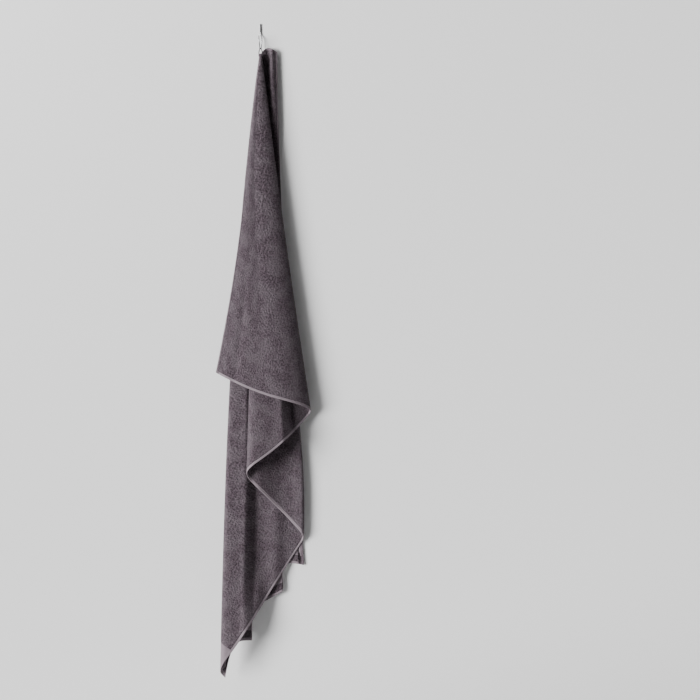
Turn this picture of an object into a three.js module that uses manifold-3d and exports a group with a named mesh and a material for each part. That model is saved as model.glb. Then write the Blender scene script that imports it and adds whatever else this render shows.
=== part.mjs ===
// A terry bath sheet that hangs by its corner loop from a plain wire wall hook.
// Millimetres, +Z up, +X to the right as seen from the room, the wall at Y = 0 and the room at negative Y.
// The origin is the middle of the hook's flat shank, on the wall.

import * as THREE from 'three';
import Module from 'manifold-3d';
import { mergeVertices } from 'three/addons/utils/BufferGeometryUtils.js';

const wasm = await Module();
wasm.setup();

// Wall hook: a flat shank on the wall and one bent round wire
const SHANK_WIDTH = 3.4;
const SHANK_HEIGHT = 32;
const SHANK_THICKNESS = 2;
const WIRE_DIAMETER = 3;
const WIRE_SIDES = 12;
const WIRE_STEPS = 44;

// Each row is a place on the wire's middle line: sideways, forward of the wall, and up from the origin.
// Between the two legs the wire goes round the seat, which leans sideways as it comes forward.
const SEAT = { forward: 18.5, up: -58, radius: 9, lean: -0.27, arcSteps: 6 };
const BACK_LEG = [
  { at: 'in the shank', side: 0, forward: 2, up: -10 },
  { at: 'leaves the wall', side: 1, forward: 2.8, up: -17 },
  { at: 'bend', side: 3.8, forward: 7, up: -27 },
];
const FRONT_LEG = [
  { at: 'widest', side: -3.8, forward: 29.5, up: -36 },
  { at: 'tip', side: -5, forward: 27, up: -20 },
];

// Hanging loop: a flat tape over the seat of the hook, sewn to the sheet's edge
const PIECE_GAP = 0.35;
const TAPE_WIDTH = 7;
const TAPE_THICKNESS = 1.1;
const TAPE_LEG_REACH = 5.4;
const TAPE_BEND_STEPS = 10;
const TAPE_LAP = 7.5;

// Sheet: its cloth, thinner where it is squeezed at the gather, and where its gathered top lies
const TERRY_THICKNESS = 3;
const SQUEEZED_THICKNESS = 1.6;
const SQUEEZED_DROP = 130;
const HEM_THICKNESS = 2.2;
const HEM_WIDTH = 9;
const HEM_STEP = 1.5;
const SEWN_INSETS = [HEM_WIDTH, HEM_WIDTH + HEM_STEP];
const LOOP_LEVEL = -68.6;
const GATHER_TOP = 4;

// At the loop the folds lie this far forward of the wall, one behind the other, and this far to each side
const GATHER_FRONT = 37;
const GATHER_SPACING = 3.5;
const GATHER_SIDE = 1.7;
const TIGHT_ROLL = 1.75;

// Each row is one fold that fans out from the loop, from the free front edge to the long edge at the wall.
// side and drop: where it meets the hem, sideways and below the loop. bow: its swing off the straight line.
// peak and fullness: where the swing is widest and how long it lasts. forward: its distance from the wall
// at the hem. roll: the radius of its turn there. swell: how late it comes forward and opens its turn.
// turnSteps and steps: segments round the turn, and across the layer that follows it. sag: how far the hem
// of that layer hangs below the straight line.
const FOLDS = [
  { name: 'front edge', side: -129, drop: 933, bow: 14, peak: 0.6, fullness: 1, forward: 64, roll: 0,
    swell: 1, turnSteps: 0, steps: 9, sag: 10 },
  { name: 'first right fold', side: 146, drop: 1045, bow: -5, peak: 0.5, fullness: 1, forward: 35, roll: 8,
    swell: 1.4, turnSteps: 5, steps: 10, sag: 9 },
  { name: 'first left fold', side: -38.5, drop: 1226, bow: 0, peak: 0.5, fullness: 1, forward: 85, roll: 23,
    swell: 1.8, turnSteps: 3, steps: 6, sag: -5 },
  { name: 'second right fold', side: 125, drop: 1413, bow: 16.5, peak: 0.8, fullness: 1, forward: 18,
    roll: 9, swell: 1.5, turnSteps: 3, steps: 14, sag: 3 },
  { name: 'second left fold', side: -115.5, drop: 1802, bow: -26, peak: 0.45, fullness: 1, forward: 64,
    roll: 14, swell: 1.15, turnSteps: 2, steps: 7, sag: 0 },
  { name: 'third right fold', side: -26, drop: 1714, bow: 0, peak: 0.5, fullness: 1, forward: 21.2, roll: 2.9,
    swell: 1, turnSteps: 2, steps: 2, sag: 0 },
  { name: 'third left fold', side: -100, drop: 1661, bow: -14, peak: 0.5, fullness: 1, forward: 16.5,
    roll: 2.5, swell: 1, turnSteps: 2, steps: 2, sag: 0 },
  { name: 'fourth right fold', side: 64.5, drop: 1571, bow: 8, peak: 0.5, fullness: 1, forward: 12, roll: 2.3,
    swell: 1, turnSteps: 2, steps: 2, sag: 0 },
  { name: 'fourth left fold', side: -87, drop: 1520, bow: -12, peak: 0.5, fullness: 1, forward: 8.5, roll: 2,
    swell: 1, turnSteps: 2, steps: 6, sag: -20 },
];
const LAYERS = FOLDS.length;

// The front layer comes round to the first right fold in a wide soft turn. reach and rise: its size sideways
// and towards the room at the hem. spread and swell: how soon each grows. ease: how flat the turn is.
// room: the most of the layer that this turn may take. TURN_ROOM is the most for any other turn.
const WIDE_TURN = { fold: 1, reach: 120, rise: 54, spread: 0.6, swell: 0.7, ease: 1.4, room: 0.75 };
const TURN_ROOM = 0.45;

// The long edge runs from the corner beside the loop down to the lower back corner
const LONG_EDGE = { startSide: 48, endSide: 127, drop: 1495, flare: 1.5, startForward: 7, endForward: 5 };
const CORNER_ARCH = { rise: 15, lean: 0.8, cornerDrop: -1.5 };

// The sheet's lowest corner hangs where the turn into this layer ends. From there the hem rises steeply,
// and then less and less: tuck is how fast.
const LOW_CORNER = { layer: 5, drop: 1821, tuck: 5 };

// The layers that hang in a step. start and end: across the layer, from the fold before it, where the step
// is. shelf and top: the shares of the layer's whole rise that lie below and above it.
const STEPS = [
  { layer: 2, start: 0.3, end: 0.52, shelf: 0.2, top: 0.86 },
  { layer: 4, start: 0.61, end: 0.79, shelf: 0.34, top: 0.93 },
];

// Soft ridges and troughs. layer: 1 is the front one. across: place from the fold before it to the next one,
// and below: the same at the lower end. width: as a share of the layer. height: towards the room.
// from and to: the drops between which it lasts.
const RELIEF = [
  { name: 'left trough', layer: 1, across: 0.5, below: 0.3, width: 0.1, height: -4, from: 620, to: 1180 },
  { name: 'third hollow', layer: 3, across: 0.5, below: 0.5, width: 0.35, height: -10, from: 600, to: 1900 },
  { name: 'right swell', layer: 4, across: 0.335, below: 0.335, width: 0.1, height: 6, from: 1030, to: 1800 },
  { name: 'low swell', layer: 4, across: 0.6, below: 0.7, width: 0.11, height: 26, from: 1510, to: 1950 },
  { name: 'corner fold', layer: 9, across: 0.62, below: 0.84, width: 0.16, height: 14, from: -100, to: 270 },
  { name: 'corner edge', layer: 9, across: 1, below: 1, width: 0.2, height: 7, from: -100, to: 420 },
];
const RELIEF_MARGIN = 0.22;

// How quickly the front layer comes round from its free edge
const FRONT_CURVE = 3.4;

const SHEET_ROWS = 22;
const INSET_SHARE = 0.065;

const COLOURS = { terry: 0x6e636a, tape: 0x8d818a, wire: 0xb9bbbd };

const mix = (a, b, share) => a + (b - a) * share;
const clamp = (value) => Math.min(1, Math.max(0, value));
const smooth = (value) => clamp(value) ** 2 * (3 - 2 * clamp(value));

// How far a fold has swung off its straight line, at a share of its length
function swing(share, peak, fullness) {
  const bend = Math.sin(Math.PI * Math.max(share, 0) ** (Math.log(0.5) / Math.log(peak)));
  return Math.sign(bend) * Math.abs(bend) ** fullness;
}

// A fold at one drop: sideways place, forward place, radius of its turn towards the wall, and the sideways
// reach and depth of its turn towards the room
function foldAt(index, drop) {
  if (index === LAYERS) {
    const share = clamp(drop / LONG_EDGE.drop);
    return {
      side: mix(LONG_EDGE.startSide, LONG_EDGE.endSide, share ** LONG_EDGE.flare),
      forward: mix(LONG_EDGE.startForward, LONG_EDGE.endForward, share),
      roll: 0,
      reach: 0,
      rise: 0,
    };
  }
  const fold = FOLDS[index];
  const share = drop / fold.drop;
  const opened = clamp(share);
  const swollen = opened ** fold.swell;
  const roll = fold.roll && mix(TIGHT_ROLL, fold.roll, swollen);
  const wide = index === WIDE_TURN.fold;
  const pleat = (index % 2 ? GATHER_SIDE : -GATHER_SIDE) * (1 - opened);
  return {
    side: fold.side * share + fold.bow * swing(share, fold.peak, fold.fullness) + pleat,
    forward: mix(GATHER_FRONT - GATHER_SPACING * index, fold.forward, swollen),
    roll,
    reach: wide ? mix(TIGHT_ROLL, WIDE_TURN.reach, opened ** WIDE_TURN.spread) : roll,
    rise: wide ? mix(TIGHT_ROLL, WIDE_TURN.rise, opened ** WIDE_TURN.swell) : roll,
  };
}

function reliefAt(layer, across, drop) {
  const farMargin = layer === LAYERS ? 1 : smooth((1 - across) / RELIEF_MARGIN);
  const margin = smooth(across / RELIEF_MARGIN) * farMargin;
  return RELIEF.filter((row) => row.layer === layer).reduce((sum, row) => {
    const along = clamp((drop - row.from) / (row.to - row.from));
    const lasting = Math.sin(Math.PI * along) ** 0.7;
    const off = (across - mix(row.across, row.below, along)) / row.width;
    return sum + row.height * lasting * margin * Math.exp(-(off ** 2));
  }, 0);
}

// Share of a layer's rise from its first fold to its next, with its step if it has one
function risenAt(layer, across) {
  const step = STEPS.find((row) => row.layer === layer);
  if (layer === 1) {
    return 1 - (1 - across) ** FRONT_CURVE;
  }
  if (!step) {
    return smooth(across);
  }
  const shelf = step.shelf * smooth(across / step.start);
  const wall = (step.top - step.shelf) * smooth((across - step.start) / (step.end - step.start));
  return shelf + wall + (1 - step.top) * smooth((across - step.end) / (1 - step.end));
}

// One level of a layer: a quarter turn, a run with its relief, and a quarter turn into the next fold.
// station.part is 'turn out', 'run' or 'turn in', and station.along goes from 0 to 1 in it.
function layerPoint(station, drop) {
  const before = foldAt(station.layer - 1, drop);
  const after = foldAt(station.layer, drop);
  const heading = station.layer % 2 ? 1 : -1;
  const room = Math.abs(after.side - before.side);
  const wide = station.layer === WIDE_TURN.fold;
  const leave = Math.min(before.roll, room * TURN_ROOM);
  const arrive = Math.min(after.reach, room * (wide ? WIDE_TURN.room : TURN_ROOM));
  if (station.part === 'turn out') {
    const turned = (station.along * Math.PI) / 2;
    return {
      side: before.side + heading * leave * (1 - Math.cos(turned)),
      forward: before.forward - before.roll * Math.sin(turned),
    };
  }
  if (station.part === 'turn in') {
    const turned = ((1 - station.along) * Math.PI) / 2;
    return {
      side: after.side - heading * arrive * (1 - Math.cos(turned)),
      forward: after.forward + after.rise * Math.sin(turned) ** (wide ? WIDE_TURN.ease : 1),
    };
  }
  const start = before.side + heading * leave;
  const end = after.side - heading * arrive;
  const across = runShare(station, Math.abs(end - start));
  const depth = mix(before.forward - before.roll, after.forward + after.rise, risenAt(station.layer, across));
  return {
    side: mix(start, end, across),
    forward: depth + reliefAt(station.layer, across, drop),
  };
}

// The sewn edges keep their width at every level, and the other stations share out what is left
function runShare(station, length) {
  if (station.inset === undefined) {
    return station.along;
  }
  const narrowest = (INSET_SHARE * station.inset) / (HEM_WIDTH + HEM_STEP);
  const share = Math.min(station.inset / Math.max(length, 1), narrowest);
  return station.layer === 1 ? share : 1 - share;
}

// Stations go round the sheet from the front edge to the long edge, with the drop of the hem at each
function layStations() {
  const stations = [];
  for (let layer = 1; layer <= LAYERS; layer += 1) {
    const fold = FOLDS[layer - 1];
    const next = FOLDS[layer];
    const turnOut = fold.turnSteps;
    const turnIn = next ? next.turnSteps : 0;
    for (let i = 0; i < turnOut; i += 1) {
      stations.push({ layer, part: 'turn out', along: i / turnOut });
    }
    const lastRun = next ? fold.steps : fold.steps + 1;
    for (let i = 0; i < lastRun; i += 1) {
      const along = i / fold.steps;
      stations.push({ layer, part: 'run', along });
      if (layer === 1 && i === 0) {
        SEWN_INSETS.forEach((inset) => stations.push({ layer, part: 'run', along: 0, inset }));
      }
      if (layer === LAYERS && i === fold.steps - 1) {
        SEWN_INSETS.toReversed().forEach((inset) => stations.push({ layer, part: 'run', along: 1, inset }));
      }
    }
    for (let i = 0; i < turnIn; i += 1) {
      stations.push({ layer, part: 'turn in', along: i / turnIn });
    }
  }
  return stations.map((station) => ({ ...station, hem: hemDrop(station), top: topDrop(station) }));
}

// Share of a layer's cut hem that lies before a station, with its turns counted at their full length
function hemShare(station) {
  const before = foldAt(station.layer - 1, FOLDS[station.layer - 1].drop);
  const afterDrop = station.layer === LAYERS ? LONG_EDGE.drop : FOLDS[station.layer].drop;
  const after = foldAt(station.layer, afterDrop);
  const out = (before.roll * Math.PI) / 2;
  const run = Math.abs(after.side - before.side) - before.roll - after.reach;
  const turnedIn = (Math.hypot(after.reach, after.rise) * Math.PI) / Math.sqrt(8);
  const lengths = { 'turn out': [0, out], run: [out, run], 'turn in': [out + run, turnedIn] }[station.part];
  const along = station.part === 'run' ? runShare(station, run) : station.along;
  return (lengths[0] + lengths[1] * along) / (out + run + turnedIn);
}

function hemDrop(station) {
  const fold = FOLDS[station.layer - 1];
  const nextDrop = station.layer === LAYERS ? LONG_EDGE.drop : FOLDS[station.layer].drop;
  const share = hemShare(station);
  if (station.layer !== LOW_CORNER.layer) {
    return mix(fold.drop, nextDrop, share) + fold.sag * Math.sin(Math.PI * share);
  }
  if (station.part === 'turn out') {
    return mix(fold.drop, LOW_CORNER.drop, station.along);
  }
  const cornerShare = hemShare({ layer: station.layer, part: 'run', along: 0 });
  const past = (share - cornerShare) / (1 - cornerShare);
  return mix(nextDrop, LOW_CORNER.drop, (1 - past) ** LOW_CORNER.tuck);
}

// The sheet starts at the gather, and beside it runs up over the arch to the corner
function topDrop(station) {
  if (station.layer < LAYERS || station.part !== 'run') {
    return GATHER_TOP;
  }
  const across = runShare(station, LONG_EDGE.startSide);
  const arch = CORNER_ARCH.rise * Math.sin(Math.PI * across ** CORNER_ARCH.lean);
  return mix(GATHER_TOP, CORNER_ARCH.cornerDrop, across) - arch;
}

// Drops of the rows down one station: an even ladder between the two sewn edges
function rowDrops(station) {
  const upper = [0, HEM_WIDTH, HEM_WIDTH + HEM_STEP].map((inset) => station.top + inset);
  const lower = [HEM_WIDTH + HEM_STEP, HEM_WIDTH, 0].map((inset) => station.hem - inset);
  const first = upper[upper.length - 1];
  const ladder = [];
  for (let i = 1; i < SHEET_ROWS; i += 1) {
    ladder.push(mix(first, lower[0], (i / SHEET_ROWS) ** 1.15));
  }
  return [...upper, ...ladder, ...lower];
}

function isSewnEdge(row, rows, station) {
  const atEnds = row < 2 || row >= rows - 2;
  const edgeOfFront = station.layer === 1 && station.part === 'run' && station.along === 0;
  const edgeOfBack = station.layer === LAYERS && station.part === 'run' && station.along === 1;
  const atSides = (edgeOfFront || edgeOfBack) && !(station.inset > HEM_WIDTH);
  return atEnds || atSides;
}

// A closed shell of the cloth's thickness round the grid of its middle surface
function sheetGeometry() {
  const stations = layStations();
  const middle = stations.map((station) =>
    rowDrops(station).map((drop) => {
      const point = layerPoint(station, drop);
      return new THREE.Vector3(point.side, -point.forward, LOOP_LEVEL - drop);
    }),
  );
  const columns = stations.length;
  const rows = middle[0].length;
  const near = (list, index) => list[Math.min(Math.max(index, 0), list.length - 1)];
  const positions = [];
  [1, -1].forEach((face) => {
    middle.forEach((line, column) => {
      line.forEach((point, row) => {
        const acrossWay = new THREE.Vector3().subVectors(
          near(middle, column + 1)[row],
          near(middle, column - 1)[row],
        );
        const downWay = new THREE.Vector3().subVectors(near(line, row + 1), near(line, row - 1));
        const outward = new THREE.Vector3().crossVectors(downWay, acrossWay).normalize();
        const loosened = smooth((LOOP_LEVEL - point.z) / SQUEEZED_DROP);
        const most = isSewnEdge(row, rows, stations[column]) ? HEM_THICKNESS : TERRY_THICKNESS;
        const thickness = Math.min(most, mix(SQUEEZED_THICKNESS, TERRY_THICKNESS, loosened));
        const place = point.clone().addScaledVector(outward, (face * thickness) / 2);
        positions.push(place.x, place.y, place.z);
      });
    });
  });
  const at = (face, column, row) => face * columns * rows + column * rows + row;
  const triangles = [];
  const quad = (a, b, c, d) => triangles.push(a, b, c, a, c, d);
  for (let column = 0; column < columns - 1; column += 1) {
    for (let row = 0; row < rows - 1; row += 1) {
      quad(at(0, column, row), at(0, column, row + 1), at(0, column + 1, row + 1), at(0, column + 1, row));
      quad(at(1, column, row), at(1, column + 1, row), at(1, column + 1, row + 1), at(1, column, row + 1));
    }
    const end = rows - 1;
    quad(at(0, column, 0), at(0, column + 1, 0), at(1, column + 1, 0), at(1, column, 0));
    quad(at(0, column, end), at(1, column, end), at(1, column + 1, end), at(0, column + 1, end));
  }
  for (let row = 0; row < rows - 1; row += 1) {
    quad(at(0, 0, row), at(1, 0, row), at(1, 0, row + 1), at(0, 0, row + 1));
    const last = columns - 1;
    quad(at(0, last, row), at(0, last, row + 1), at(1, last, row + 1), at(1, last, row));
  }
  const geometry = new THREE.BufferGeometry();
  geometry.setAttribute('position', new THREE.BufferAttribute(new Float32Array(positions), 3));
  geometry.setIndex(triangles);
  return geometry;
}

function solidOf(geometry) {
  geometry.deleteAttribute('normal');
  geometry.deleteAttribute('uv');
  const merged = mergeVertices(geometry, 1e-4);
  return new wasm.Manifold(
    new wasm.Mesh({
      numProp: 3,
      vertProperties: merged.attributes.position.array,
      triVerts: new Uint32Array(merged.index.array),
    }),
  );
}

function geometryOf(solid) {
  const mesh = solid.getMesh();
  const geometry = new THREE.BufferGeometry();
  geometry.setAttribute('position', new THREE.BufferAttribute(mesh.vertProperties, 3));
  geometry.setIndex(new THREE.BufferAttribute(mesh.triVerts, 1));
  return geometry;
}

function seatRows() {
  const rows = [];
  for (let i = 0; i <= SEAT.arcSteps; i += 1) {
    const angle = (Math.PI * i) / SEAT.arcSteps;
    const reach = -SEAT.radius * Math.cos(angle);
    rows.push({
      side: reach * SEAT.lean,
      forward: SEAT.forward + reach,
      up: SEAT.up + SEAT.radius * (1 - Math.sin(angle)),
    });
  }
  return rows;
}

// The wire leaves the flat shank and bends out into the hook
function hookGeometry() {
  const rows = [...BACK_LEG, ...seatRows(), ...FRONT_LEG];
  const route = new THREE.CatmullRomCurve3(
    rows.map((row) => new THREE.Vector3(row.side, -row.forward, row.up)),
    false,
    'centripetal',
  );
  const section = new THREE.Shape();
  section.absarc(0, 0, WIRE_DIAMETER / 2, 0, Math.PI * 2, false);
  const wire = new THREE.ExtrudeGeometry(section, {
    steps: WIRE_STEPS,
    curveSegments: WIRE_SIDES,
    extrudePath: route,
  });
  const shank = new THREE.BoxGeometry(SHANK_WIDTH, SHANK_THICKNESS, SHANK_HEIGHT);
  shank.translate(0, -SHANK_THICKNESS / 2, 0);
  return geometryOf(solidOf(shank).add(solidOf(wire)));
}

// The tape stands on edge: its bend goes over the wire's seat and its legs run down both sides of the gather.
// It is turned to lie square across the wire, and rides above the seat by what the wire rises at its edges.
function loopGeometry() {
  const turn = Math.atan(SEAT.lean);
  const lift = (TAPE_WIDTH / 2) ** 2 / (2 * SEAT.radius);
  const inner = WIRE_DIAMETER / 2 + PIECE_GAP;
  const outer = inner + TAPE_THICKNESS;
  const legTop = -inner - 3;
  const legFoot = LOOP_LEVEL - GATHER_TOP - TAPE_LAP - SEAT.up - lift;
  const inside = [];
  const outside = [];
  for (let i = 0; i <= TAPE_BEND_STEPS; i += 1) {
    const angle = Math.PI * (1 - i / TAPE_BEND_STEPS);
    inside.push(new THREE.Vector2(inner * Math.cos(angle), inner * Math.sin(angle)));
    outside.push(new THREE.Vector2(outer * Math.cos(angle), outer * Math.sin(angle)));
  }
  const leg = (side, reach) => [
    new THREE.Vector2(side * reach, legTop - (TAPE_LEG_REACH - inner) * 1.5),
    new THREE.Vector2(side * reach, legFoot),
  ];
  const innerReach = TAPE_LEG_REACH - TAPE_THICKNESS;
  const outline = [
    ...leg(-1, TAPE_LEG_REACH).reverse(),
    ...outside,
    ...leg(1, TAPE_LEG_REACH),
    ...leg(1, innerReach).reverse(),
    ...inside.reverse(),
    ...leg(-1, innerReach),
  ];
  const shape = new THREE.Shape(outline);
  const tape = new THREE.ExtrudeGeometry(shape, { depth: TAPE_WIDTH, bevelEnabled: false });
  tape.translate(0, 0, -TAPE_WIDTH / 2);
  tape.rotateX(Math.PI / 2);
  tape.rotateZ(turn);
  tape.translate(0, -SEAT.forward, SEAT.up + lift);
  return tape;
}

function piece(name, geometry, colour, roughness, metalness) {
  const material = new THREE.MeshStandardMaterial({ color: colour, roughness, metalness });
  const mesh = new THREE.Mesh(geometry, material);
  mesh.name = name;
  return mesh;
}

const group = new THREE.Group();
group.add(piece('wall_hook', hookGeometry(), COLOURS.wire, 0.35, 0.9));
group.add(piece('hanging_loop', loopGeometry(), COLOURS.tape, 0.85, 0));
group.add(piece('bath_sheet', sheetGeometry(), COLOURS.terry, 0.95, 0));

export default group;
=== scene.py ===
"""A terry bath sheet hanging by its corner loop from a plain bent-wire wall hook, as seen from the room."""

import bpy
import math
import numpy as np
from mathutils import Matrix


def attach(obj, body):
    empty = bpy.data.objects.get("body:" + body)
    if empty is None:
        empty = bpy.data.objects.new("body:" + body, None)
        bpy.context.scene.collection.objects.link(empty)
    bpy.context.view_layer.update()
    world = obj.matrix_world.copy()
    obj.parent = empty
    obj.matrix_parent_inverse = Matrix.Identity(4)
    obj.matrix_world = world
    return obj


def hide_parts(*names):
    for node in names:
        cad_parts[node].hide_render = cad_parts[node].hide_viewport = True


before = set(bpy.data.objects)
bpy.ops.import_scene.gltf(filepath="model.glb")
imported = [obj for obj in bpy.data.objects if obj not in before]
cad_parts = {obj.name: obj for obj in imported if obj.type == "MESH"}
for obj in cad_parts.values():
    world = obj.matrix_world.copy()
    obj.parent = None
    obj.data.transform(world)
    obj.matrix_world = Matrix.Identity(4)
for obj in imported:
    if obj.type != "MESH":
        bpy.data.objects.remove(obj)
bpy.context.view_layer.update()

# The hung sheet. These values repeat the part's own sizes, in millimetres, with the wall at forward 0. A drop
# is measured down from the loop's level.
LOOP_LEVEL = -68.6
GATHER_TOP = 4

# At the loop the folds lie this far forward of the wall, one behind the other, and this far to each side
GATHER_FRONT = 37
GATHER_SPACING = 3.5
GATHER_SIDE = 1.7
TIGHT_ROLL = 1.75

# A turn takes at most this share of its layer. The one from the front layer into the next is wide. It reaches
# along the layer and rises towards the room by its own amounts.
TURN_ROOM = 0.45
WIDE_TURN = {"fold": 1, "reach": 120, "rise": 54, "spread": 0.6, "swell": 0.7, "ease": 1.4, "room": 0.75}

# The long edge runs from the corner beside the loop, which stands up in an arch, to the lower back corner
LONG_EDGE = {"side": (48, 127), "drop": 1495, "flare": 1.5, "forward": (7, 5)}
CORNER_ARCH = {"rise": 15, "lean": 0.8, "drop": -1.5}

# The sheet's lowest corner hangs after the turn into this layer, and the hem rises from it at this power
LOW_CORNER = {"layer": 5, "drop": 1821, "tuck": 5}

# One row for each fold, front edge first. side and drop: where it meets the hem. bow and peak: its swing off
# the straight line, and where that is widest. forward and roll: its distance from the wall and the radius of
# its turn at the hem. swell: how soon it comes forward. sag: how far the next layer's hem hangs. edge: where
# the fold meets the sheet's edge when the sheet lies flat. columns: in the turn out of the fold, in the run
# over the layer behind it, and in the turn into the next fold.
FOLDS = [
    {"name": "front edge", "side": -129, "drop": 933, "bow": 14, "peak": 0.6, "swell": 1,
     "forward": 64, "roll": 0, "sag": 10, "edge": (0, 0), "columns": (0, 36, 24)},
    {"name": "first right", "side": 146, "drop": 1045, "bow": -5, "peak": 0.5, "swell": 1.4,
     "forward": 35, "roll": 8, "sag": 9, "edge": (0, 400), "columns": (6, 40, 8)},
    {"name": "first left", "side": -38.5, "drop": 1226, "bow": 0, "peak": 0.5, "swell": 1.8,
     "forward": 85, "roll": 23, "sag": -5, "edge": (0, 725), "columns": (8, 26, 6)},
    {"name": "second right", "side": 125, "drop": 1413, "bow": 16.5, "peak": 0.8, "swell": 1.5,
     "forward": 18, "roll": 9, "sag": 3, "edge": (0, 1010), "columns": (6, 56, 6)},
    {"name": "second left", "side": -115.5, "drop": 1802, "bow": -26, "peak": 0.45, "swell": 1.15,
     "forward": 64, "roll": 14, "sag": 0, "edge": (0, 1470), "columns": (6, 22, 3)},
    {"name": "third right", "side": -26, "drop": 1714, "bow": 0, "peak": 0.5, "swell": 1,
     "forward": 21.2, "roll": 2.9, "sag": 0, "edge": (160, 1500), "columns": (3, 10, 3)},
    {"name": "third left", "side": -100, "drop": 1661, "bow": -14, "peak": 0.5, "swell": 1,
     "forward": 16.5, "roll": 2.5, "sag": 0, "edge": (286, 1500), "columns": (3, 12, 3)},
    {"name": "fourth right", "side": 64.5, "drop": 1571, "bow": 8, "peak": 0.5, "swell": 1,
     "forward": 12, "roll": 2.3, "sag": 0, "edge": (522, 1500), "columns": (3, 14, 3)},
    {"name": "fourth left", "side": -87, "drop": 1520, "bow": -12, "peak": 0.5, "swell": 1,
     "forward": 8.5, "roll": 2, "sag": -20, "edge": (740, 1500), "columns": (3, 22, 0)},
]
LAYERS = len(FOLDS)

# Soft ridges and troughs. across: where one lies in its layer, as a share, at its upper and its lower end.
# width: a share of the layer. height: towards the room. drops: between which it lasts.
RELIEF = [
    {"name": "left trough", "layer": 1, "across": (0.5, 0.3), "width": 0.1,
     "height": -4, "drops": (620, 1180)},
    {"name": "third hollow", "layer": 3, "across": (0.5, 0.5), "width": 0.35,
     "height": -10, "drops": (600, 1900)},
    {"name": "right swell", "layer": 4, "across": (0.335, 0.335), "width": 0.1,
     "height": 6, "drops": (1030, 1800)},
    {"name": "low swell", "layer": 4, "across": (0.6, 0.7), "width": 0.11,
     "height": 26, "drops": (1510, 1950)},
    {"name": "corner fold", "layer": 9, "across": (0.62, 0.84), "width": 0.16,
     "height": 14, "drops": (-100, 270)},
    {"name": "corner edge", "layer": 9, "across": (1, 1), "width": 0.2,
     "height": 7, "drops": (-100, 420)},
]
# Relief fades in from a fold over this share of its layer. A fullness below 1 holds its height for longer.
RELIEF_MARGIN = 0.22
RELIEF_FULLNESS = 0.7

# The layers that hang in a step: where across the layer it starts and ends, and the share of the layer's
# whole rise that lies before it and that has been reached after it
STEPS = [
    {"layer": 2, "start": 0.3, "end": 0.52, "shelf": 0.2, "top": 0.86},
    {"layer": 4, "start": 0.61, "end": 0.79, "shelf": 0.34, "top": 0.93},
]

# How quickly the front layer comes round from its free edge
FRONT_CURVE = 3.4

# Flat sheet, in millimetres: the loop is sewn to the short edge, near one corner. The woven band lies between
# these distances from the other short edge.
FLAT_WIDTH = 1000
FLAT_LENGTH = 1500
LOOP_AT = 935
HEM = 8
BAND = (25, 103)

# Cloth thickness over the pile, the hems and the band, at the sewn edge, and where the loop squeezes it
TERRY_THICKNESS = 3.0
HEM_THICKNESS = 2.2
BAND_THICKNESS = 1.9
EDGE_THICKNESS = 0.5
SQUEEZED_THICKNESS = 1.6

# The distances over which one thickness passes into the next
EDGE_ROUNDING = 1.1
PILE_START = HEM - 0.4
PILE_FADE = 2
BAND_FADE = 3
SQUEEZED_DROP = 110

# Rows and columns at a sewn edge, by their distance from it, and the number of rows between the two ends.
# Where a layer is short, the columns of its edge draw together to this share of it.
EDGE_ROWS = [0, 0.35, 1.1, 3, 5.6, 7.4, 9, 11.5]
LADDER_ROWS = 118
INSET_SHARE = 0.065

# On the flat sheet the free edge's strip narrows at this rate towards the loop, and not quite to nothing
STRIP_TAPER = 0.3
STRIP_LEAST = 0.01


def mix(a, b, share):
    return a + (b - a) * share


def clamp(value):
    return np.clip(value, 0, 1)


def smooth(value):
    value = clamp(value)
    return value * value * (3 - 2 * value)


def metres(value):
    return value / 1000


def swing(share, peak):
    """One side of a wave that is widest at its peak."""
    return np.sin(math.pi * np.maximum(share, 0) ** (math.log(0.5) / math.log(peak)))


def fold_at(index, drop):
    """A fold at the given drops: side, forward, its roll to the wall, and its reach and rise to the room."""
    if index == LAYERS:
        share = clamp(drop / LONG_EDGE["drop"])
        zero = np.zeros_like(share)
        side = mix(*LONG_EDGE["side"], share ** LONG_EDGE["flare"])
        return side, mix(*LONG_EDGE["forward"], share), zero, zero, zero
    fold = FOLDS[index]
    share = drop / fold["drop"]
    opened = clamp(share)
    swollen = opened ** fold["swell"]
    roll = reach = rise = mix(TIGHT_ROLL, fold["roll"], swollen) if fold["roll"] else np.zeros_like(opened)
    if index == WIDE_TURN["fold"]:
        reach = mix(TIGHT_ROLL, WIDE_TURN["reach"], opened ** WIDE_TURN["spread"])
        rise = mix(TIGHT_ROLL, WIDE_TURN["rise"], opened ** WIDE_TURN["swell"])
    pleat = (GATHER_SIDE if index % 2 else -GATHER_SIDE) * (1 - opened)
    side = fold["side"] * share + fold["bow"] * swing(share, fold["peak"]) + pleat
    forward = mix(GATHER_FRONT - GATHER_SPACING * index, fold["forward"], swollen)
    return side, forward, roll, reach, rise


def relief_at(layer, across, drop):
    """The height of a layer's ridges and troughs, which fade out at its folds but not at the long edge."""
    margin = smooth(across / RELIEF_MARGIN)
    if layer < LAYERS:
        margin = margin * smooth((1 - across) / RELIEF_MARGIN)
    total = np.zeros_like(drop)
    for row in RELIEF:
        if row["layer"] == layer:
            along = clamp((drop - row["drops"][0]) / (row["drops"][1] - row["drops"][0]))
            off = (across - mix(*row["across"], along)) / row["width"]
            lasting = np.sin(math.pi * along) ** RELIEF_FULLNESS
            total += row["height"] * lasting * margin * np.exp(-(off**2))
    return total


def risen_at(layer, across):
    """Share of a layer's rise, from its first fold to its next."""
    for step in STEPS:
        if step["layer"] == layer:
            start, end, shelf, top = step["start"], step["end"], step["shelf"], step["top"]
            before = shelf * smooth(across / start)
            wall = (top - shelf) * smooth((across - start) / (end - start))
            return before + wall + (1 - top) * smooth((across - end) / (1 - end))
    if layer == 1:
        return 1 - (1 - across) ** FRONT_CURVE
    return smooth(across)


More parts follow.
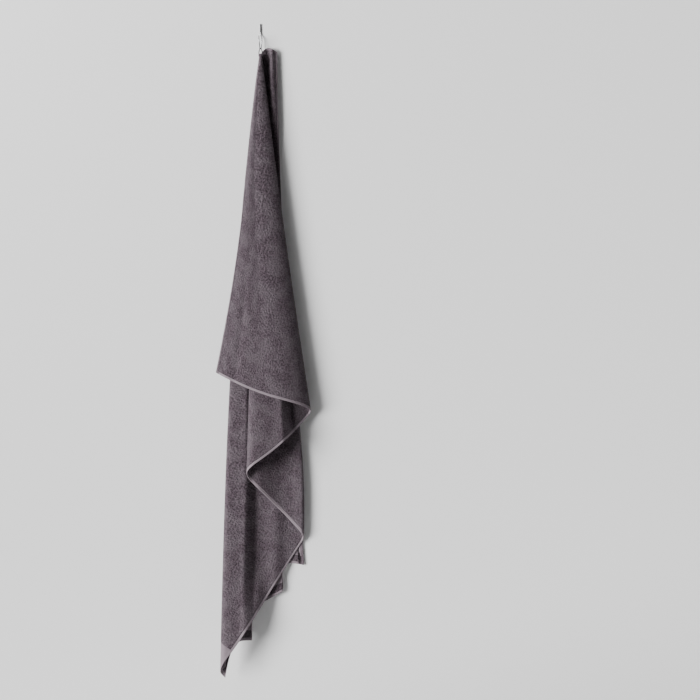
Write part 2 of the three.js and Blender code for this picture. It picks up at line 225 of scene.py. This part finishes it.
def run_share(station, length):
    """The sewn edges keep their width at every level, and the other columns share what is left."""
    if station["inset"] is None:
        return np.full_like(length, station["along"])
    narrowest = INSET_SHARE * station["inset"] / EDGE_ROWS[-1]
    share = np.minimum(station["inset"] / np.maximum(length, 1), narrowest)
    return share if station["layer"] == 1 else 1 - share


def layer_point(station, drop):
    """Side and forward of one column at each drop: a quarter turn, a run, or a quarter turn."""
    side0, forward0, roll0, _, _ = fold_at(station["layer"] - 1, drop)
    side1, forward1, _, reach1, rise1 = fold_at(station["layer"], drop)
    heading = 1 if station["layer"] % 2 else -1
    room = np.abs(side1 - side0)
    wide = station["layer"] == WIDE_TURN["fold"]
    leave = np.minimum(roll0, room * TURN_ROOM)
    arrive = np.minimum(reach1, room * (WIDE_TURN["room"] if wide else TURN_ROOM))
    if station["part"] == "out":
        turned = station["along"] * math.pi / 2
        return side0 + heading * leave * (1 - math.cos(turned)), forward0 - roll0 * math.sin(turned)
    if station["part"] == "in":
        turned = (1 - station["along"]) * math.pi / 2
        risen = math.sin(turned) ** (WIDE_TURN["ease"] if wide else 1)
        return side1 - heading * arrive * (1 - math.cos(turned)), forward1 + rise1 * risen
    start = side0 + heading * leave
    end = side1 - heading * arrive
    across = run_share(station, np.abs(end - start))
    depth = mix(forward0 - roll0, forward1 + rise1, risen_at(station["layer"], across))
    return mix(start, end, across), depth + relief_at(station["layer"], across, drop)


def station_of(layer, part, along, inset=None):
    return {"layer": layer, "part": part, "along": along, "inset": inset}


def lay_stations():
    """The columns of the sheet, from the front edge round every layer to the long edge."""
    stations = []
    for layer in range(1, LAYERS + 1):
        out, run, turn_in = FOLDS[layer - 1]["columns"]
        stations += [station_of(layer, "out", i / out) for i in range(out)]
        if layer == 1:
            stations += [station_of(layer, "run", 0, inset) for inset in EDGE_ROWS]
        stations += [station_of(layer, "run", i / run) for i in range(1 if layer == 1 else 0, run)]
        if layer == LAYERS:
            stations += [station_of(layer, "run", 1, inset) for inset in reversed(EDGE_ROWS)]
        stations += [station_of(layer, "in", i / turn_in) for i in range(turn_in)]
    return stations


def hem_end(layer):
    """The drop at which the fold at a layer's far side meets the hem."""
    return LONG_EDGE["drop"] if layer == LAYERS else FOLDS[layer]["drop"]


def hem_share(station):
    """Share of a layer's hem that lies before a column."""
    layer = station["layer"]
    side0, _, roll0, _, _ = fold_at(layer - 1, np.array(float(FOLDS[layer - 1]["drop"])))
    side1, _, _, reach1, rise1 = fold_at(layer, np.array(float(hem_end(layer))))
    out = roll0 * math.pi / 2
    run = abs(side1 - side0) - roll0 - reach1
    turned_in = math.hypot(reach1, rise1) * math.pi / math.sqrt(8)
    before, length = {"out": (0, out), "run": (out, run), "in": (out + run, turned_in)}[station["part"]]
    along = run_share(station, np.array(float(run))) if station["part"] == "run" else station["along"]
    return float((before + length * along) / (out + run + turned_in))


def past_corner(station):
    """How far a column is along the hem, from the sheet's lowest corner to the layer's next fold."""
    corner = hem_share(station_of(station["layer"], "run", 0))
    return (hem_share(station) - corner) / (1 - corner)


def hem_drop(station):
    layer = station["layer"]
    fold = FOLDS[layer - 1]
    if layer != LOW_CORNER["layer"]:
        share = hem_share(station)
        return mix(fold["drop"], hem_end(layer), share) + fold["sag"] * math.sin(math.pi * share)
    if station["part"] == "out":
        return mix(fold["drop"], LOW_CORNER["drop"], station["along"])
    return mix(hem_end(layer), LOW_CORNER["drop"], (1 - past_corner(station)) ** LOW_CORNER["tuck"])


def top_drop(station):
    """The sheet's top edge is gathered at the loop, and arched in the last layer."""
    if station["layer"] < LAYERS or station["part"] != "run":
        return GATHER_TOP
    across = float(run_share(station, np.array(float(LONG_EDGE["side"][0]))))
    arch = CORNER_ARCH["rise"] * math.sin(math.pi * across ** CORNER_ARCH["lean"])
    return mix(GATHER_TOP, CORNER_ARCH["drop"], across) - arch


def flat_edge(station):
    """Where a column ends on the edge of the flat sheet, in millimetres."""
    layer = station["layer"]
    start = np.array(FOLDS[layer - 1]["edge"], float)
    end = np.array((FLAT_WIDTH, FLAT_LENGTH) if layer == LAYERS else FOLDS[layer]["edge"], float)
    if layer != LOW_CORNER["layer"]:
        return mix(start, end, hem_share(station))
    corner = np.array((0, FLAT_LENGTH), float)
    if station["part"] == "out":
        return mix(start, corner, station["along"])
    return mix(corner, end, past_corner(station))


def flat_places(station, shares):
    """Places on the flat sheet down one column, in millimetres."""
    loop = np.array((LOOP_AT, 0), float)
    edge = flat_edge(station)
    down = shares[:, None]
    if station["layer"] == LAYERS and station["part"] == "run":
        top = mix(loop, np.array((FLAT_WIDTH, 0), float), hem_share(station))
        places = mix(top, edge, down)
        if station["inset"] is not None:
            places[:, 0] = np.maximum(places[:, 0], FLAT_WIDTH - station["inset"])
        return places
    places = mix(loop, edge, down)
    if station["layer"] == 1 and station["inset"] is not None:
        places[:, 1] = np.minimum(station["inset"], STRIP_TAPER * (LOOP_AT - places[:, 0]) + STRIP_LEAST)
    return places


def sheet_columns():
    """Middle surface and place on the flat sheet, for every column from its top to its hem."""
    middle, flat = [], []
    for station in lay_stations():
        top, hem = top_drop(station), hem_drop(station)
        reach = FLAT_LENGTH if flat_edge(station)[1] >= FLAT_LENGTH else LOOP_AT
        upper = np.array(EDGE_ROWS) / (hem - top)
        lower = 1 - np.array(EDGE_ROWS[::-1]) / reach
        ladder = mix(upper[-1], lower[0], np.linspace(0, 1, LADDER_ROWS + 2)[1:-1])
        down = np.concatenate([upper, ladder, lower])
        drop = mix(top, hem, down)
        side, forward = layer_point(station, drop)
        middle.append(np.stack([side, -forward, LOOP_LEVEL - drop], axis=1))
        flat.append(flat_places(station, down))
    return np.array(middle), np.array(flat)


def cloth_thickness(flat, middle):
    """Thin and rounded at the sewn edge, flat over hems and the woven band, full over the pile."""
    across, along = flat[..., 0], flat[..., 1]
    from_end = FLAT_LENGTH - along
    inside = np.minimum(np.minimum(across, FLAT_WIDTH - across), np.minimum(along, from_end))
    rounded = np.sqrt(1 - (1 - clamp(inside / EDGE_ROUNDING)) ** 2)
    hem = mix(EDGE_THICKNESS, HEM_THICKNESS, rounded)
    pile = smooth((inside - PILE_START) / PILE_FADE)
    band_in = smooth((from_end - BAND[0]) / BAND_FADE + 0.5)
    band_out = smooth((BAND[1] - from_end) / BAND_FADE + 0.5)
    full = mix(TERRY_THICKNESS, BAND_THICKNESS, band_in * band_out)
    loose = smooth((LOOP_LEVEL - middle[..., 2]) / SQUEEZED_DROP)
    return np.minimum(mix(hem, full, pile), mix(SQUEEZED_THICKNESS, TERRY_THICKNESS, loose))


def outward_normals(middle):
    across = np.gradient(middle, axis=0)
    down = np.gradient(middle, axis=1)
    normals = np.cross(down, across)
    return normals / np.linalg.norm(normals, axis=2, keepdims=True)


def shell_faces(columns, rows):
    """Quads of a closed shell: its front grid, its back grid behind all front points, and its rim."""
    count = columns * rows
    column, row = np.meshgrid(np.arange(columns - 1), np.arange(rows - 1), indexing="ij")
    a = (column * rows + row).ravel()
    b, c, d = a + 1, a + rows + 1, a + rows
    front = np.stack([a, b, c, d], axis=1)
    back = np.stack([a, d, c, b], axis=1) + count
    ring = np.concatenate([
        np.arange(0, rows),
        np.arange(1, columns) * rows + rows - 1,
        (columns - 1) * rows + np.arange(rows - 2, -1, -1),
        np.arange(columns - 2, 0, -1) * rows,
    ])
    after = np.roll(ring, -1)
    rim = np.stack([ring, ring + count, after + count, after], axis=1)
    return np.concatenate([front, back, rim])


def make_sheet():
    middle, flat = sheet_columns()
    offset = outward_normals(middle) * (cloth_thickness(flat, middle)[..., None] / 2)
    places = metres(np.concatenate([(middle + offset).reshape(-1, 3), (middle - offset).reshape(-1, 3)]))
    mesh = bpy.data.meshes.new("terry_sheet")
    mesh.from_pydata(places.tolist(), [], shell_faces(*middle.shape[:2]).tolist())
    layer = mesh.uv_layers.new(name="flat_cloth")
    flat_all = metres(np.concatenate([flat.reshape(-1, 2), flat.reshape(-1, 2)]))
    corners = np.empty(len(mesh.loops), dtype=np.int32)
    mesh.loops.foreach_get("vertex_index", corners)
    layer.data.foreach_set("uv", flat_all[corners].ravel())
    mesh.update()
    mesh.shade_smooth()
    sheet = bpy.data.objects.new("terry_sheet", mesh)
    bpy.context.scene.collection.objects.link(sheet)
    return sheet


# Materials

def new_material(name):
    material = bpy.data.materials.new(name)
    material.use_nodes = True
    nodes = material.node_tree.nodes
    nodes.clear()
    output = nodes.new("ShaderNodeOutputMaterial")
    shader = nodes.new("ShaderNodeBsdfPrincipled")
    material.node_tree.links.new(shader.outputs["BSDF"], output.inputs["Surface"])
    return material, shader


def feed(tree, node, inputs):
    """Give each named socket its plain value, or its link from another node's socket."""
    for key, value in inputs.items():
        if isinstance(value, bpy.types.NodeSocket):
            tree.links.new(value, node.inputs[key])
        else:
            node.inputs[key].default_value = value


def add(tree, kind, inputs=None, **settings):
    """A node with its settings and its fed sockets."""
    node = tree.nodes.new(kind)
    for key, value in settings.items():
        setattr(node, key, value)
    feed(tree, node, inputs or {})
    return node


def math_of(tree, operation, *values):
    return add(tree, "ShaderNodeMath", dict(enumerate(values)), operation=operation).outputs[0]


def ramp(tree, value, span, result=(0.0, 1.0)):
    """A smooth step of a value over its span."""
    ends = dict(zip(("From Min", "From Max", "To Min", "To Max"), (*span, *result)))
    node = add(tree, "ShaderNodeMapRange", {"Value": value, **ends}, interpolation_type="SMOOTHSTEP")
    return node.outputs["Result"]


def ramp_at(tree, value, start, end):
    """A smooth step of a distance in metres, between two places given in millimetres."""
    return ramp(tree, value, (metres(start), metres(end)))


def blend_colour(tree, share, first, second):
    """A mix node's colour sockets are its sockets 6 and 7, and its colour is output 2."""
    return add(tree, "ShaderNodeMix", {0: share, 6: first, 7: second}, data_type="RGBA").outputs[2]


def noise_of(tree, place, pattern, dimensions="3D"):
    node = add(tree, "ShaderNodeTexNoise", {"Vector": place, **pattern}, noise_dimensions=dimensions)
    return node.outputs["Fac"]


def stretched(tree, place, scale):
    return add(tree, "ShaderNodeMapping", {"Vector": place, "Scale": scale}).outputs["Vector"]


def object_place(tree):
    return add(tree, "ShaderNodeTexCoord").outputs["Object"]


def bump_of(tree, height, relief, **inputs):
    """The normals of a surface with this height pattern, at a relief's distance in metres and strength."""
    return add(tree, "ShaderNodeBump", {"Height": height, **relief, **inputs}).outputs["Normal"]


# Colours of the pile: painted shade down in the pile between the loops, the yarn at its lit tips, and pale
# patches. Then those of the band, the hems, the tape, the wire and the floor, each with a second one that its
# pattern blends in.
TERRY_PILE_SHADE = (0.031, 0.0215, 0.028, 1)
TERRY_LIGHT = (0.162, 0.124, 0.148, 1)
TERRY_PALE = (0.30, 0.27, 0.29, 1)
WOVEN = ((0.195, 0.158, 0.18, 1), (0.21, 0.18, 0.2, 1))
HEMMED = ((0.23, 0.19, 0.213, 1), (0.17, 0.142, 0.158, 1))
TAPE = ((0.21, 0.185, 0.205, 1), (0.34, 0.30, 0.325, 1))
WIRE = ((0.26, 0.26, 0.27, 1), (0.34, 0.34, 0.35, 1))
FLOOR_PAINT = ((0.74, 0.74, 0.74, 1), (0.8, 0.8, 0.8, 1))
WALL_PAINT = (0.86, 0.86, 0.86, 1)

# Patterns, with their scale for each metre: the clumps of the pile and its pale patches on the flat sheet,
# the ribs of the tape, the specks of the wall's paint and the grain of the floor
CLUMPS = {"Scale": 190.0, "Detail": 3.0, "Roughness": 0.62}
PATCHES = {"Scale": 26.0, "Detail": 3.0, "Roughness": 0.55}
RIBS = {"Scale": 230.0, "Distortion": 1.5, "Detail": 2.0}
SPECKS = {"Scale": 900.0, "Detail": 2.0}
GRAIN = {"Scale": 60.0, "Detail": 3.0}

# Patterns that are finer one way than the other take their scale from the stretch: the pile's loops, the rows
# of the woven band and hems, and the lines along the wire
LOOPS = {"Scale": 1.0, "Randomness": 0.85}
STREAKS = {"Scale": 1.0, "Detail": 2.0}
LOOP_STRETCH = (560, 430, 1)
WEAVE_STRETCH = (900, 160, 1)
WIRE_STRETCH = (2600, 2600, 240)

# A noise stays near its middle, so it is stretched from one of these spans. A loop's distance from its centre
# gives its painted shade, darker towards its rim, over one span and its height over another.
NOISE_SPAN = (0.3, 0.7)
PATCH_SPAN = (0.35, 0.65)
LOOP_SHADE_SPAN = (0.75, 0.1)
LOOP_HEIGHT_SPAN = (0.8, 0.0)

# The shares of a loop and of its clump in the pile's painted shade, and the most that a second colour is
# blended in
LOOP_SHARE = 0.4
CLUMP_SHARE = 0.6
PALE_MOST = 0.16
WOVEN_MOST = 0.35
HEMMED_MOST = 0.3

# Relief in bump, whose distances are in metres
LOOP_RELIEF = {"Distance": 0.0011, "Strength": 0.8}
CLUMP_RELIEF = {"Distance": 0.0055, "Strength": 1.0}
RIB_RELIEF = {"Distance": 0.0003, "Strength": 0.8}
LINE_RELIEF = {"Distance": 0.00005, "Strength": 0.5}
PAINT_RELIEF = {"Distance": 0.0001, "Strength": 0.2}

# The surface of looped yarn: dull, with a faint sheen
YARN_SURFACE = {
    "Roughness": 0.95,
    "Specular IOR Level": 0.15,
    "Sheen Weight": 0.06,
    "Sheen Roughness": 0.45,
    "Sheen Tint": (0.8, 0.75, 0.79, 1),
}
WIRE_ROUGHNESS = (0.16, 0.26)

# The pile's colour starts this far before the hem's inner edge, and the band's fades in over this much to
# each side. Two hems, the loop's and the one of the long edge at the wall, are given painted shade: they take
# on most of the pile's darker colour up to the first of these distances from the edge, and none past the
# second.
PILE_OVERLAP = 1.4
BAND_EDGE = 1
SHADED_HEM_SPAN = (9, 12)
HEM_SHADE_SHARE = 0.85


def terry_material():
    material, shader = new_material("terry_cloth")
    tree = material.node_tree
    flat = add(tree, "ShaderNodeUVMap", uv_map="flat_cloth").outputs["UV"]
    parts = add(tree, "ShaderNodeSeparateXYZ", {"Vector": flat})
    across, along = parts.outputs["X"], parts.outputs["Y"]
    from_sides = math_of(tree, "MINIMUM", across, math_of(tree, "SUBTRACT", metres(FLAT_WIDTH), across))
    from_end = math_of(tree, "SUBTRACT", metres(FLAT_LENGTH), along)
    from_ends = math_of(tree, "MINIMUM", along, from_end)
    inside = math_of(tree, "MINIMUM", from_sides, from_ends)
    pile = ramp_at(tree, inside, HEM - PILE_OVERLAP, HEM)
    band_in = ramp_at(tree, from_end, BAND[0] - BAND_EDGE, BAND[0] + BAND_EDGE)
    band_out = ramp_at(tree, from_end, BAND[1] + BAND_EDGE, BAND[1] - BAND_EDGE)
    band = math_of(tree, "MULTIPLY", band_in, band_out)
    looped = math_of(tree, "MULTIPLY", pile, math_of(tree, "SUBTRACT", 1.0, band))

    cells = add(tree, "ShaderNodeTexVoronoi", {"Vector": stretched(tree, flat, LOOP_STRETCH), **LOOPS},
                voronoi_dimensions="2D", feature="F1")
    loops = cells.outputs["Distance"]
    clumps = noise_of(tree, flat, CLUMPS, "2D")
    patches = noise_of(tree, flat, PATCHES, "2D")
    weave = noise_of(tree, stretched(tree, flat, WEAVE_STRETCH), STREAKS, "2D")

    # Painted shade and light in the pile: darker towards each loop's rim and where the clumps are low,
    # lighter at the loop tips and clump tops, as the bumps below rise and fall
    loop_shade = math_of(tree, "MULTIPLY", ramp(tree, loops, LOOP_SHADE_SPAN), LOOP_SHARE)
    shade = math_of(tree, "MULTIPLY_ADD", ramp(tree, clumps, NOISE_SPAN), CLUMP_SHARE, loop_shade)
    terry = blend_colour(tree, shade, TERRY_PILE_SHADE, TERRY_LIGHT)
    terry = blend_colour(tree, ramp(tree, patches, PATCH_SPAN, (0.0, PALE_MOST)), terry, TERRY_PALE)
    woven = blend_colour(tree, ramp(tree, weave, NOISE_SPAN, (0.0, WOVEN_MOST)), *WOVEN)
    hem = blend_colour(tree, ramp(tree, weave, NOISE_SPAN, (0.0, HEMMED_MOST)), *HEMMED)
    # Painted shade on the hems of the loop's edge and of the long edge at the wall: the pile's darker colour
    # is blended over the hem colour there
    near, far = SHADED_HEM_SPAN
    shaded_end = ramp_at(tree, along, far, near)
    shaded_side = ramp_at(tree, across, FLAT_WIDTH - far, FLAT_WIDTH - near)
    hem_shade = math_of(tree, "MULTIPLY", math_of(tree, "MAXIMUM", shaded_end, shaded_side), HEM_SHADE_SHARE)
    hem = blend_colour(tree, hem_shade, hem, terry)
    colour = blend_colour(tree, pile, hem, blend_colour(tree, band, terry, woven))

    loop_height = math_of(tree, "MULTIPLY", ramp(tree, loops, LOOP_HEIGHT_SPAN), looped)
    clump_height = math_of(tree, "MULTIPLY", clumps, looped)
    normal = bump_of(tree, clump_height, CLUMP_RELIEF, Normal=bump_of(tree, loop_height, LOOP_RELIEF))
    feed(tree, shader, {"Base Color": colour, "Normal": normal, **YARN_SURFACE})
    return material


def tape_material():
    material, shader = new_material("tape_weave")
    tree = material.node_tree
    waves = add(tree, "ShaderNodeTexWave", {"Vector": object_place(tree), **RIBS},
                wave_type="BANDS", bands_direction="Z")
    ribs = waves.outputs["Fac"]
    normal = bump_of(tree, ribs, RIB_RELIEF)
    feed(tree, shader, {"Base Color": blend_colour(tree, ribs, *TAPE), "Normal": normal, "Roughness": 0.85})
    return material


def wire_material():
    """Steel with fine lines along the wire, from being drawn through its die."""
    material, shader = new_material("drawn_wire")
    tree = material.node_tree
    drawn = noise_of(tree, stretched(tree, object_place(tree), WIRE_STRETCH), STREAKS)
    feed(tree, shader, {
        "Base Color": blend_colour(tree, drawn, *WIRE),
        "Normal": bump_of(tree, drawn, LINE_RELIEF),
        "Roughness": ramp(tree, drawn, NOISE_SPAN, WIRE_ROUGHNESS),
        "Metallic": 1.0,
    })
    return material


def wall_material():
    """Painted wall that is clear from behind, so that the back of the sheet can be seen."""
    material, shader = new_material("wall_paint")
    tree = material.node_tree
    specks = noise_of(tree, object_place(tree), SPECKS)
    feed(tree, shader, {
        "Base Color": WALL_PAINT,
        "Normal": bump_of(tree, specks, PAINT_RELIEF),
        "Roughness": 0.9,
        "Specular IOR Level": 0.1,
    })
    behind = add(tree, "ShaderNodeNewGeometry").outputs["Backfacing"]
    clear = add(tree, "ShaderNodeBsdfTransparent").outputs["BSDF"]
    both = add(tree, "ShaderNodeMixShader", {0: behind, 1: shader.outputs["BSDF"], 2: clear})
    feed(tree, tree.nodes["Material Output"], {"Surface": both.outputs["Shader"]})
    return material


def floor_material():
    material, shader = new_material("floor_pale")
    tree = material.node_tree
    grain = noise_of(tree, object_place(tree), GRAIN)
    feed(tree, shader, {"Base Color": blend_colour(tree, grain, *FLOOR_PAINT), "Roughness": 0.9})
    return material


def dress(name, material):
    mesh = bpy.data.objects[name].data
    mesh.materials.clear()
    mesh.materials.append(material)


# Camera: straight at the wall from far off, at the photo's frame
FRAME_CENTRE = (0.261, -0.936)
FRAME_WIDTH = 2.044
CAMERA_AWAY = 14.0
SENSOR_WIDTH = 36


def make_camera():
    camera = bpy.data.cameras.new("camera")
    camera.sensor_width = SENSOR_WIDTH
    camera.lens = SENSOR_WIDTH * CAMERA_AWAY / FRAME_WIDTH
    camera.clip_end = 100
    thing = bpy.data.objects.new("camera", camera)
    thing.location = (FRAME_CENTRE[0], -CAMERA_AWAY, FRAME_CENTRE[1])
    thing.rotation_euler = (math.pi / 2, 0, 0)
    bpy.context.scene.collection.objects.link(thing)
    bpy.context.scene.camera = thing


# Lights stand round this point. azimuth: degrees to its left, from straight in front. rise: degrees above its
# level. away: the distance. The key is a sun, soft by the angle that it spans, and the others are disks.
AIM = (0.0, -0.05, -0.95)
KEY = {"azimuth": 52, "rise": 0, "away": 3.6, "spread": 0.5, "power": 6.7}
FILLS = [
    {"name": "upper_soft", "azimuth": 50, "rise": 42, "away": 2.6, "size": 1.6, "power": 26},
    {"name": "back_fill", "azimuth": 165, "rise": 10, "away": 4.0, "size": 2.5, "power": 70},
]
WORLD_STRENGTH = 0.1


def place_light(light, row):
    """Put a light in its place round the aim point, turned to face it."""
    thing = bpy.data.objects.new(light.name, light)
    a, e = math.radians(row["azimuth"]), math.radians(row["rise"])
    way = (-math.sin(a) * math.cos(e), -math.cos(a) * math.cos(e), math.sin(e))
    thing.location = [AIM[i] + way[i] * row["away"] for i in range(3)]
    thing.rotation_euler = (math.acos(way[2]), 0, math.atan2(way[1], way[0]) + math.pi / 2)
    bpy.context.scene.collection.objects.link(thing)


def add_lights():
    key = bpy.data.lights.new("key", "SUN")
    key.energy = KEY["power"]
    key.angle = KEY["spread"]
    place_light(key, KEY)
    for row in FILLS:
        fill = bpy.data.lights.new(row["name"], "AREA")
        fill.shape = "DISK"
        fill.size = row["size"]
        fill.energy = row["power"]
        place_light(fill, row)


# Stage: the wall stands a millimetre behind the hook's shank, and the floor well below the sheet
WALL_CENTRE = (0, 0.001, -0.2)
WALL_SIZE = (9, 4.8)
FLOOR_CENTRE = (0, -1.0, -2.5)
FLOOR_SIZE = 3.6


def make_stage():
    bpy.ops.object.select_all(action="DESELECT")
    bpy.ops.mesh.primitive_plane_add(size=1, location=WALL_CENTRE, rotation=(math.pi / 2, 0, 0))
    wall = bpy.context.object
    wall.name = "back_wall"
    wall.scale = (*WALL_SIZE, 1)
    bpy.ops.object.transform_apply(location=True, rotation=True, scale=True)
    wall.data.materials.append(wall_material())
    wall.visible_shadow = False
    bpy.ops.mesh.primitive_plane_add(size=FLOOR_SIZE, location=FLOOR_CENTRE)
    floor = bpy.context.object
    floor.name = "floor"
    floor.data.materials.append(floor_material())


def make_world():
    world = bpy.data.worlds.new("studio")
    bpy.context.scene.world = world
    world.use_nodes = True
    background = world.node_tree.nodes["Background"]
    background.inputs["Color"].default_value = (1, 1, 1, 1)
    background.inputs["Strength"].default_value = WORLD_STRENGTH


make_camera()
sheet = make_sheet()
sheet.data.materials.append(terry_material())
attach(sheet, "root")
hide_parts("bath_sheet")
dress("hanging_loop", tape_material())
dress("wall_hook", wire_material())

make_stage()
make_world()
add_lights()
